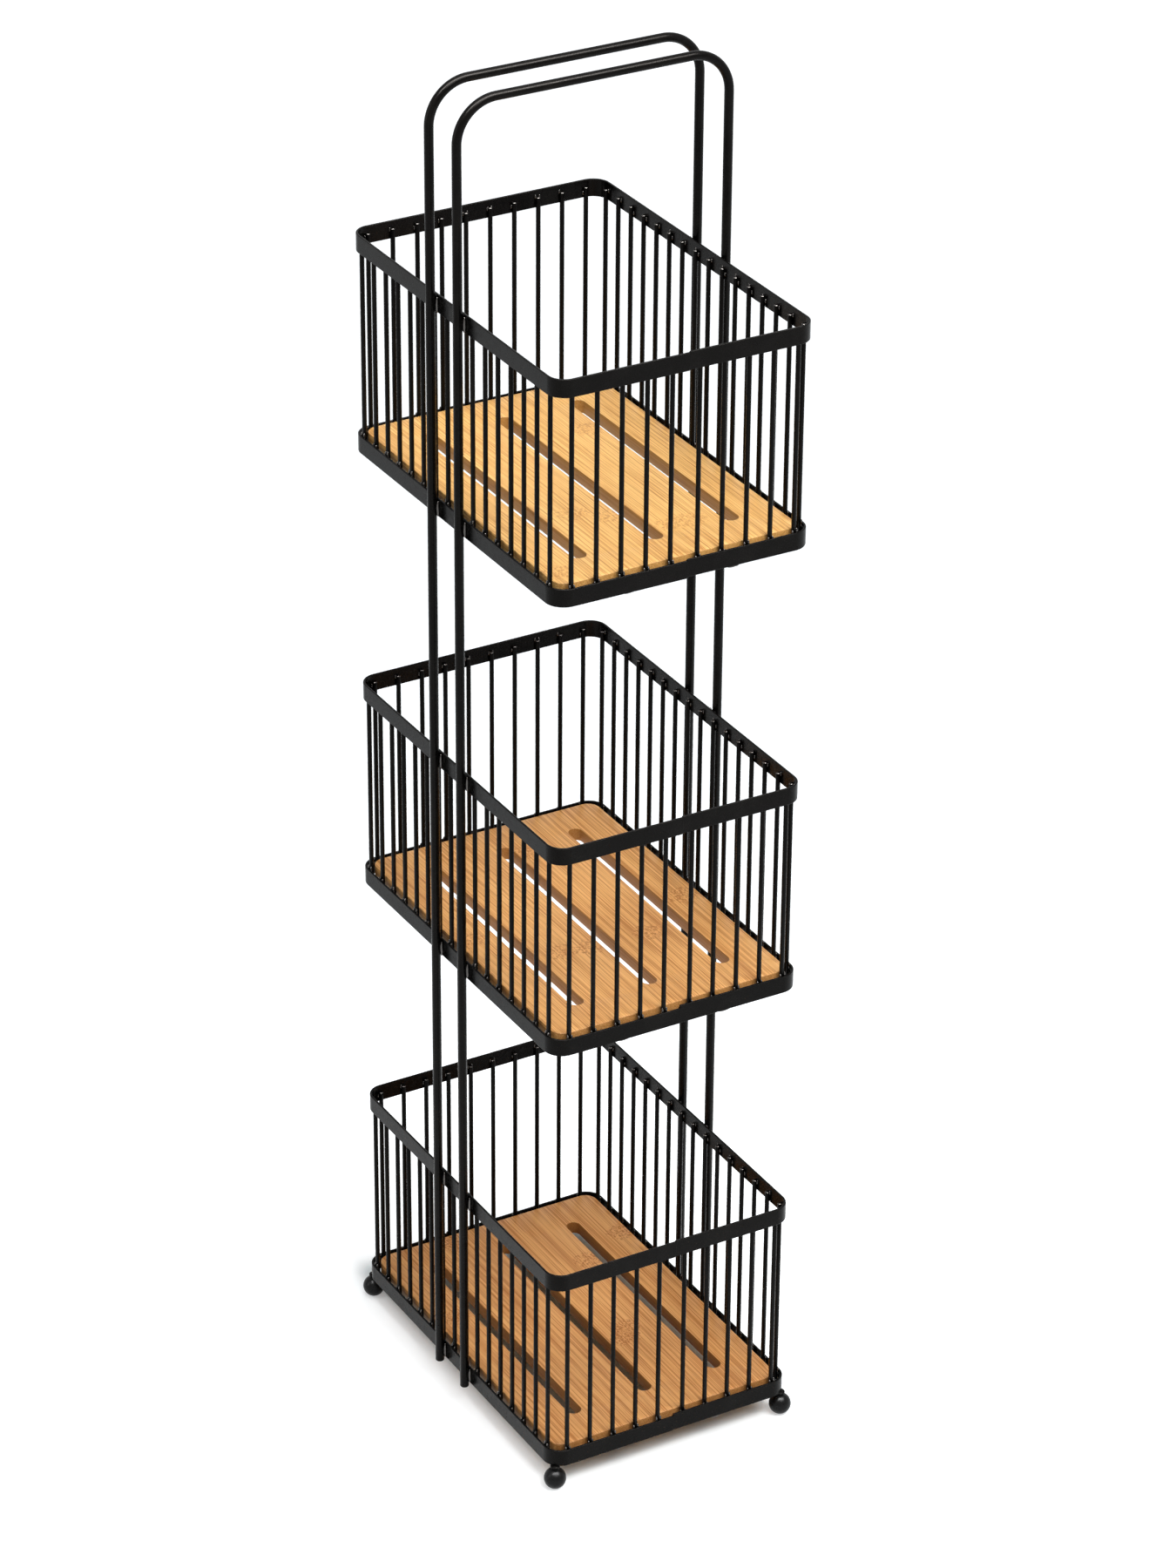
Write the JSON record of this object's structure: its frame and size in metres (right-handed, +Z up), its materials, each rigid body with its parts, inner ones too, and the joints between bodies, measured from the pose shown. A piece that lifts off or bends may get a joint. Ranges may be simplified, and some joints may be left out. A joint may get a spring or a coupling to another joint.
{
  "type": "storage caddy",
  "caption": "Free-standing tower of open wire baskets with slotted bamboo boards that lift out, carried by tall rod hoops that also form the handle, on ball feet.",
  "frame": {"origin": "on the floor, under the middle of the caddy", "axes": "+Z up; +Y along the long side of the baskets, towards the rear; +X across the short side, to the right seen from the front"},
  "size_m": [0.1948, 0.2728, 0.9402],
  "materials": {
    "black_powder_coat": "satin black powder coat on steel",
    "bamboo": "clear satin lacquer, grain along the length",
    "foot_black": "satin gloss black"
  },
  "bodies": {
    "frame": {"bottom_wire_cage": "black_powder_coat", "bottom_base_band": "black_powder_coat", "bottom_support_bar_left": "black_powder_coat", "bottom_support_bar_right": "black_powder_coat", "middle_wire_cage": "black_powder_coat", "middle_base_band": "black_powder_coat", "middle_support_bar_left": "black_powder_coat", "middle_support_bar_right": "black_powder_coat", "top_wire_cage": "black_powder_coat", "top_base_band": "black_powder_coat", "top_support_bar_left": "black_powder_coat", "top_support_bar_right": "black_powder_coat", "front_hoop": "black_powder_coat", "rear_hoop": "black_powder_coat", "foot_stud_front_left": "black_powder_coat", "foot_stud_front_right": "black_powder_coat", "foot_stud_rear_left": "black_powder_coat", "foot_stud_rear_right": "black_powder_coat", "foot_ball_front_left": "foot_black", "foot_ball_front_right": "foot_black", "foot_ball_rear_left": "foot_black", "foot_ball_rear_right": "foot_black"},
    "bottom_tray": {"bottom_board": "bamboo"},
    "middle_tray": {"middle_board": "bamboo"},
    "top_tray": {"top_board": "bamboo"}
  },
  "joints": [
    {"name": "bottom_board_lift", "type": "slide", "parent": "frame", "child": "bottom_tray", "axis": [0, 0, 1], "range_m": [0, 0.148]},
    {"name": "middle_board_lift", "type": "slide", "parent": "frame", "child": "middle_tray", "axis": [0, 0, 1], "range_m": [0, 0.148]},
    {"name": "top_board_lift", "type": "slide", "parent": "frame", "child": "top_tray", "axis": [0, 0, 1], "range_m": [0, 0.148]}
  ]
}
